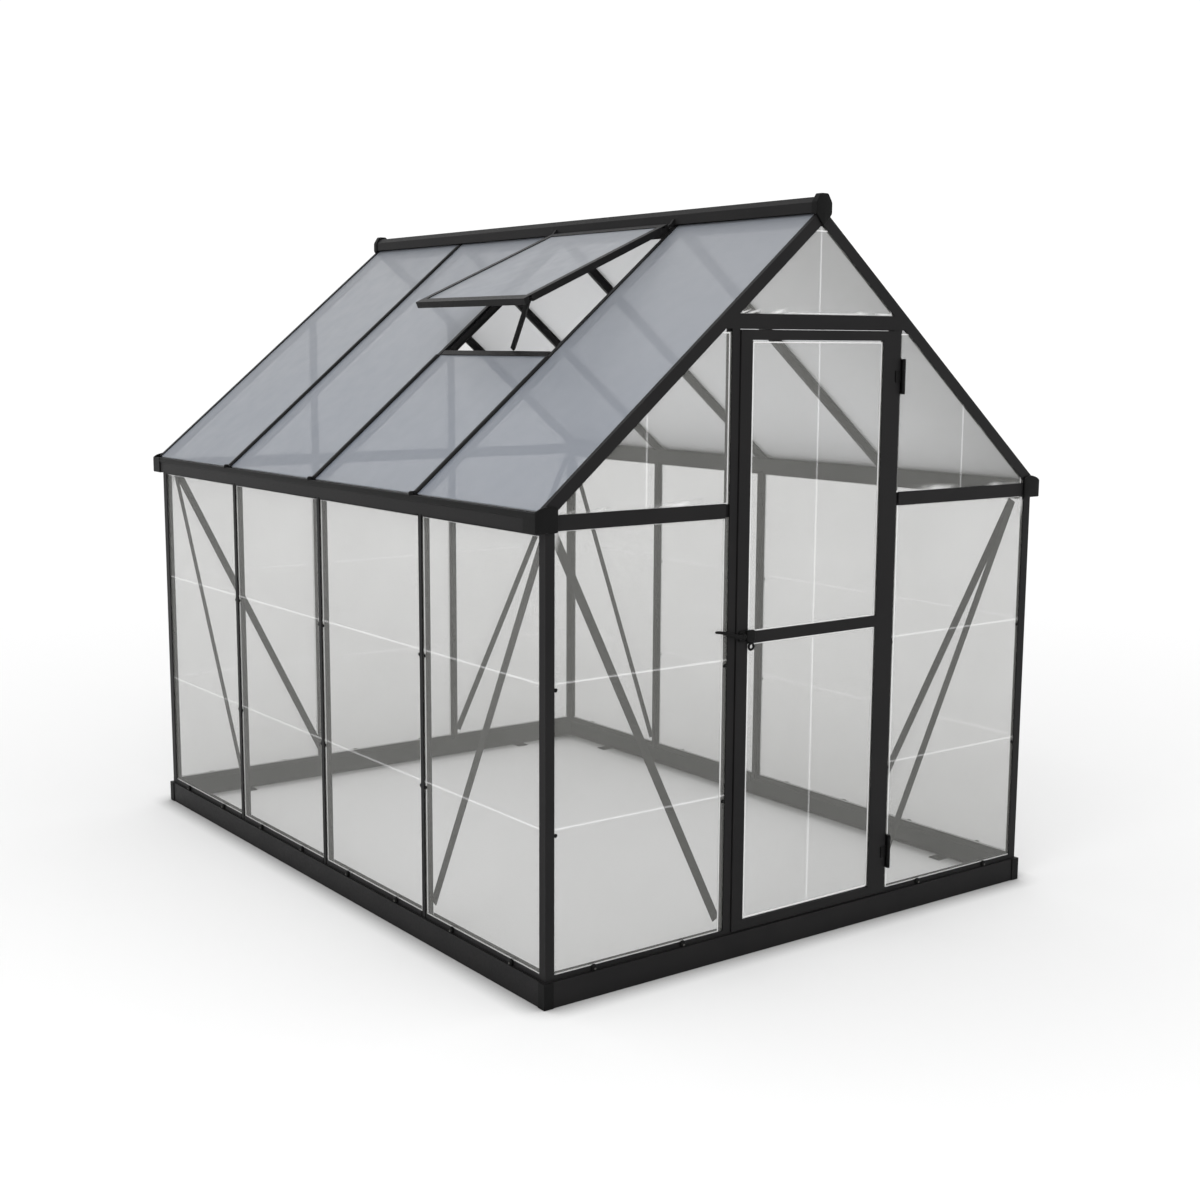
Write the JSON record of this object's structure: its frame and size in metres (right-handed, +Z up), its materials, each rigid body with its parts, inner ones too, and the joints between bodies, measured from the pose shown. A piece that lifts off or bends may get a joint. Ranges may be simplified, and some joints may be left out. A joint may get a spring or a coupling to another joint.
{
  "type": "greenhouse",
  "caption": "Walk-in gable-roof garden greenhouse with aluminium frame, clear walls, twin-wall roof, outward hinged door and open roof vent",
  "frame": {"origin": "centre of the base frame's outline at the height of its underside", "axes": "+X across the door gable to the hinge side, +Y along the ridge from the door gable to the rear gable, +Z up"},
  "size_m": [1.898, 2.4725, 2.1011],
  "materials": {
    "charcoal_frame": "satin charcoal powder coat",
    "black_plastic": "moulded black plastic",
    "screw_steel": "zinc plated",
    "clear_sheet": "clear polycarbonate sheet",
    "twin_wall_sheet": "translucent twin-wall polycarbonate sheet"
  },
  "bodies": {
    "frame": {"base_clips": "black_plastic", "base_corner_caps": "black_plastic", "base_front": "charcoal_frame", "base_left": "charcoal_frame", "base_rear": "charcoal_frame", "base_right": "charcoal_frame", "base_screws": "screw_steel", "braces_gable": "charcoal_frame", "braces_side": "charcoal_frame", "corner_post_front_left": "charcoal_frame", "corner_post_front_right": "charcoal_frame", "corner_post_rear_left": "charcoal_frame", "corner_post_rear_right": "charcoal_frame", "door_header": "charcoal_frame", "door_hinge_pins": "black_plastic", "door_jamb_hinge_side": "charcoal_frame", "door_jamb_lock_side": "charcoal_frame", "door_threshold": "charcoal_frame", "eave_beam_left": "charcoal_frame", "eave_beam_right": "charcoal_frame", "eave_end_caps": "black_plastic", "front_panes": "clear_sheet", "gable_panes_front": "clear_sheet", "gable_panes_rear": "clear_sheet", "gable_rafters_front": "charcoal_frame", "gable_rafters_rear": "charcoal_frame", "girts_front": "charcoal_frame", "girts_rear": "charcoal_frame", "mullions_left": "charcoal_frame", "mullions_rear": "charcoal_frame", "mullions_right": "charcoal_frame", "pane_clips": "black_plastic", "rafter_foot_caps": "black_plastic", "rafters_left": "charcoal_frame", "rafters_right": "charcoal_frame", "rear_panes": "clear_sheet", "ridge_beam": "charcoal_frame", "ridge_end_caps": "black_plastic", "roof_panes_left": "twin_wall_sheet", "roof_panes_right": "twin_wall_sheet", "side_panes_left": "clear_sheet", "side_panes_right": "clear_sheet", "sill_rail_rear": "charcoal_frame", "sill_rails_front": "charcoal_frame", "sill_rails_side": "charcoal_frame", "vent_hinge_ears": "charcoal_frame", "vent_hinge_rod": "screw_steel", "vent_sill": "charcoal_frame"},
    "door": {"door_stiles": "charcoal_frame", "door_rails": "charcoal_frame", "door_panes": "clear_sheet", "door_hinge_leaves": "black_plastic", "door_latch_plate": "black_plastic"},
    "door_lever": {"door_lever": "black_plastic"},
    "vent_lid": {"vent_lid_top_rail": "charcoal_frame", "vent_lid_side_rails": "charcoal_frame", "vent_lid_bottom_rail": "charcoal_frame", "vent_pane": "twin_wall_sheet", "vent_stay_bolt": "screw_steel"},
    "vent_stay": {"vent_stay": "black_plastic"}
  },
  "joints": [
    {"name": "door_hinge", "type": "hinge", "parent": "frame", "child": "door", "pos_m": [0.323, -1.233, 1], "axis": [0, 0, 1], "range_deg": [0, 115]},
    {"name": "door_lever_pivot", "type": "hinge", "parent": "door", "child": "door_lever", "pos_m": [-0.268, -1.235, 0.91], "axis": [0, 1, 0], "range_deg": [0, 90]},
    {"name": "vent_hinge", "type": "hinge", "parent": "frame", "child": "vent_lid", "pos_m": [-0.04083, -0.3059, 2.04201], "axis": [0, 1, 0], "range_deg": [-16, 6]},
    {"name": "vent_stay_pivot", "type": "hinge", "parent": "vent_lid", "child": "vent_stay", "pos_m": [-0.52427, -0.57575, 1.82229], "axis": [-0.9146, 0, -0.4043], "range_deg": [-41, 15.38]}
  ],
  "couplings": [
    {"joint": "vent_stay_pivot", "follows": "vent_hinge", "ratio": 2.5625}
  ]
}
